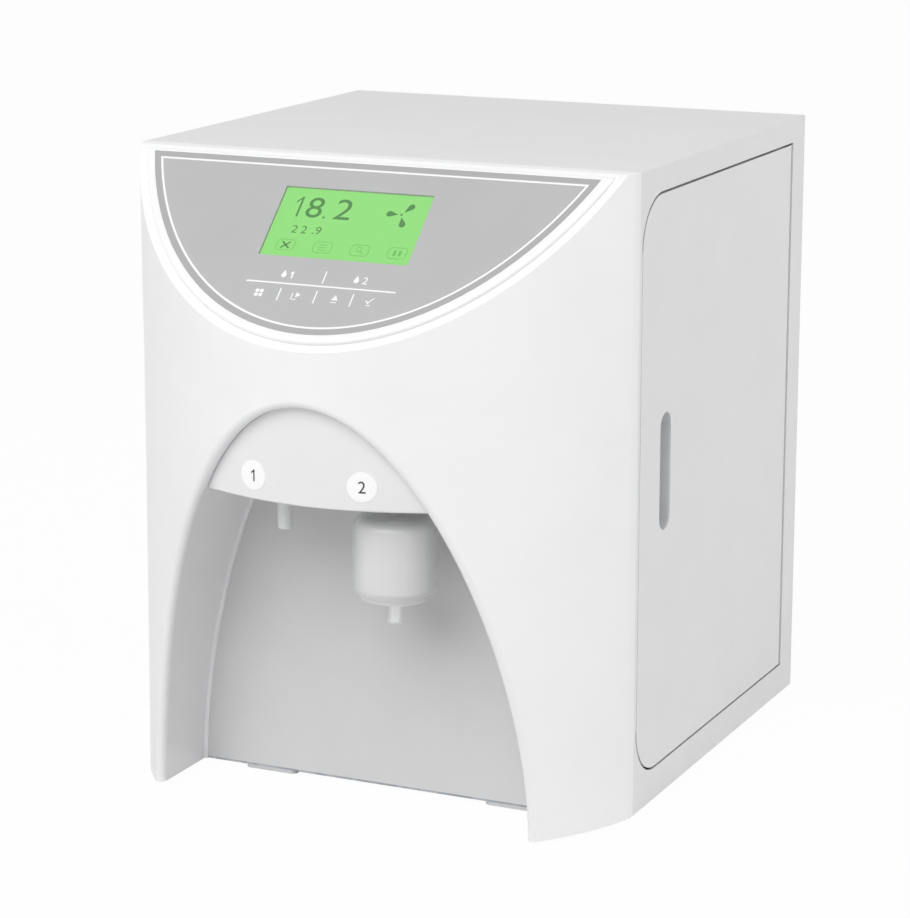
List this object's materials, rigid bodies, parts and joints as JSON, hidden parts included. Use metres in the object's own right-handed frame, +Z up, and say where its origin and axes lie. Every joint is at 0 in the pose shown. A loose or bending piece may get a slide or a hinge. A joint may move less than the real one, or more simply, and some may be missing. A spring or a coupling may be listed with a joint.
{
  "type": "ultrapure water system",
  "caption": "Bench-top water purifier with a bulged front, sloped control panel, arched dispensing bay with spout and filter capsule, and a hinged side door.",
  "frame": {"origin": "on the ground under the middle of the whole box", "axes": "+Z up, +Y from the front to the back, +X to the right seen from the front"},
  "size_m": [0.37, 0.47, 0.4425],
  "materials": {
    "cover_white": "smooth satin white moulding",
    "film_silver": "silver grey printed film",
    "display_glass": "clear window over a lit green display",
    "display_metal": "pressed frame and circuit board",
    "board_green": "green lacquered circuit board",
    "fitting_brass": "plain turned",
    "head_white": "satin white moulding",
    "label_film": "round printed film",
    "outlet_plastic": "natural white plastic",
    "capsule_clear": "clear moulded capsule",
    "capsule_pleats": "white pleated membrane",
    "bay_panel": "satin light grey paint",
    "housing_white": "smooth satin white powder coat",
    "zinc_plate": "zinc-plated sheet",
    "foot_rubber": "soft matte light grey rubber",
    "cup_grey": "fine matte grey moulding",
    "bush_plastic": "natural acetal",
    "steel_bright": "bright steel",
    "magnet_grey": "dark ferrite",
    "manifold_black": "black moulded plastic",
    "clip_black": "black spring plastic",
    "vessel_white": "white pressure tube",
    "vessel_blue": "ribbed blue cap",
    "membrane_wrap": "taped winding",
    "motor_can": "black painted can",
    "bearing_chrome": "polished rings",
    "valve_body": "white moulded body",
    "coil_black": "black moulded coil",
    "supply_case": "plain folded aluminium",
    "port_grey": "grey acetal",
    "inlet_black": "black moulded plastic",
    "rocker_black": "black rocker",
    "hose_clear": "translucent tube",
    "key_grey": "grey key stem",
    "cartridge_white": "white moulded shell",
    "cartridge_clear": "translucent shell",
    "sediment_fibre": "melt-blown fibre",
    "carbon_black": "pressed carbon",
    "resin_amber": "mixed resin beads"
  },
  "bodies": {
    "housing": {"front_cover": "cover_white", "control_overlay": "film_silver", "display_window": "display_glass", "display_module": "display_metal", "key_board": "board_green", "board_standoffs": "fitting_brass", "dispensing_head": "head_white", "number_labels": "label_film", "spout": "outlet_plastic", "capsule_shell": "capsule_clear", "capsule_membrane": "capsule_pleats", "capsule_fitting": "outlet_plastic", "bay_back_panel": "bay_panel", "main_housing": "housing_white", "base_plate": "zinc_plate", "rear_panel": "housing_white", "rubber_feet": "foot_rubber", "door_pivot_pins": "steel_bright", "door_brackets": "zinc_plate", "door_stop_frame": "zinc_plate", "door_magnets": "magnet_grey", "inner_wall": "zinc_plate", "filter_manifold": "manifold_black", "cartridge_clips": "clip_black", "membrane_housing": "vessel_white", "membrane_cap": "vessel_blue", "membrane_element": "membrane_wrap", "booster_motor": "motor_can", "booster_pump_head": "manifold_black", "booster_bearings": "bearing_chrome", "pump_bracket": "zinc_plate", "pump_grommets": "foot_rubber", "solenoid_valve": "valve_body", "solenoid_coil": "coil_black", "power_supply": "supply_case", "control_board": "board_green", "rear_ports": "port_grey", "power_inlet": "inlet_black", "switch_frame": "inlet_black", "screws": "steel_bright", "tubing": "hose_clear", "sediment_cartridge": "cartridge_white", "sediment_core": "sediment_fibre", "carbon_cartridge": "cartridge_white", "carbon_block": "carbon_black", "polishing_cartridge": "cartridge_clear", "resin_bed": "resin_amber"},
    "door": {"side_door": "housing_white", "door_handle_cup": "cup_grey", "door_bushings": "bush_plastic"},
    "pump_rotor": {"booster_rotor": "steel_bright", "booster_eccentric": "steel_bright"},
    "rocker": {"switch_rocker": "rocker_black"},
    "plunger": {"valve_plunger": "steel_bright"},
    "key_dispense_one": {"key_dispense_one": "key_grey"},
    "key_dispense_two": {"key_dispense_two": "key_grey"},
    "key_menu": {"key_menu": "key_grey"},
    "key_next": {"key_next": "key_grey"},
    "key_raise": {"key_raise": "key_grey"},
    "key_confirm": {"key_confirm": "key_grey"}
  },
  "joints": [
    {"name": "door_hinge", "type": "hinge", "parent": "housing", "child": "door", "pos_m": [0.179, 0.1725, 0.225], "axis": [0, 0, 1], "range_deg": [0, 110]},
    {"name": "pump_spin", "type": "hinge", "parent": "housing", "child": "pump_rotor", "pos_m": [-0.113, 0.022, 0.0645], "axis": [0, 1, 0], "continuous": true},
    {"name": "rocker_tilt", "type": "hinge", "parent": "housing", "child": "rocker", "pos_m": [-0.14, 0.22, 0.1125], "axis": [1, 0, 0], "range_deg": [-18, 0]},
    {"name": "plunger_lift", "type": "slide", "parent": "housing", "child": "plunger", "axis": [0, 0, 1], "range_m": [0, 0.002], "stiffness_N_per_m": 300, "springref_m": -0.002},
    {"name": "key_dispense_one_press", "type": "slide", "parent": "housing", "child": "key_dispense_one", "axis": [0, 0.6884, -0.7254], "range_m": [0, 0.0003], "stiffness_N_per_m": 1500, "springref_m": -0.0005},
    {"name": "key_dispense_two_press", "type": "slide", "parent": "housing", "child": "key_dispense_two", "axis": [0, 0.6884, -0.7254], "range_m": [0, 0.0003], "stiffness_N_per_m": 1500, "springref_m": -0.0005},
    {"name": "key_menu_press", "type": "slide", "parent": "housing", "child": "key_menu", "axis": [0, 0.6884, -0.7254], "range_m": [0, 0.0003], "stiffness_N_per_m": 1500, "springref_m": -0.0005},
    {"name": "key_next_press", "type": "slide", "parent": "housing", "child": "key_next", "axis": [0, 0.6884, -0.7254], "range_m": [0, 0.0003], "stiffness_N_per_m": 1500, "springref_m": -0.0005},
    {"name": "key_raise_press", "type": "slide", "parent": "housing", "child": "key_raise", "axis": [0, 0.6884, -0.7254], "range_m": [0, 0.0003], "stiffness_N_per_m": 1500, "springref_m": -0.0005},
    {"name": "key_confirm_press", "type": "slide", "parent": "housing", "child": "key_confirm", "axis": [0, 0.6884, -0.7254], "range_m": [0, 0.0003], "stiffness_N_per_m": 1500, "springref_m": -0.0005}
  ]
}
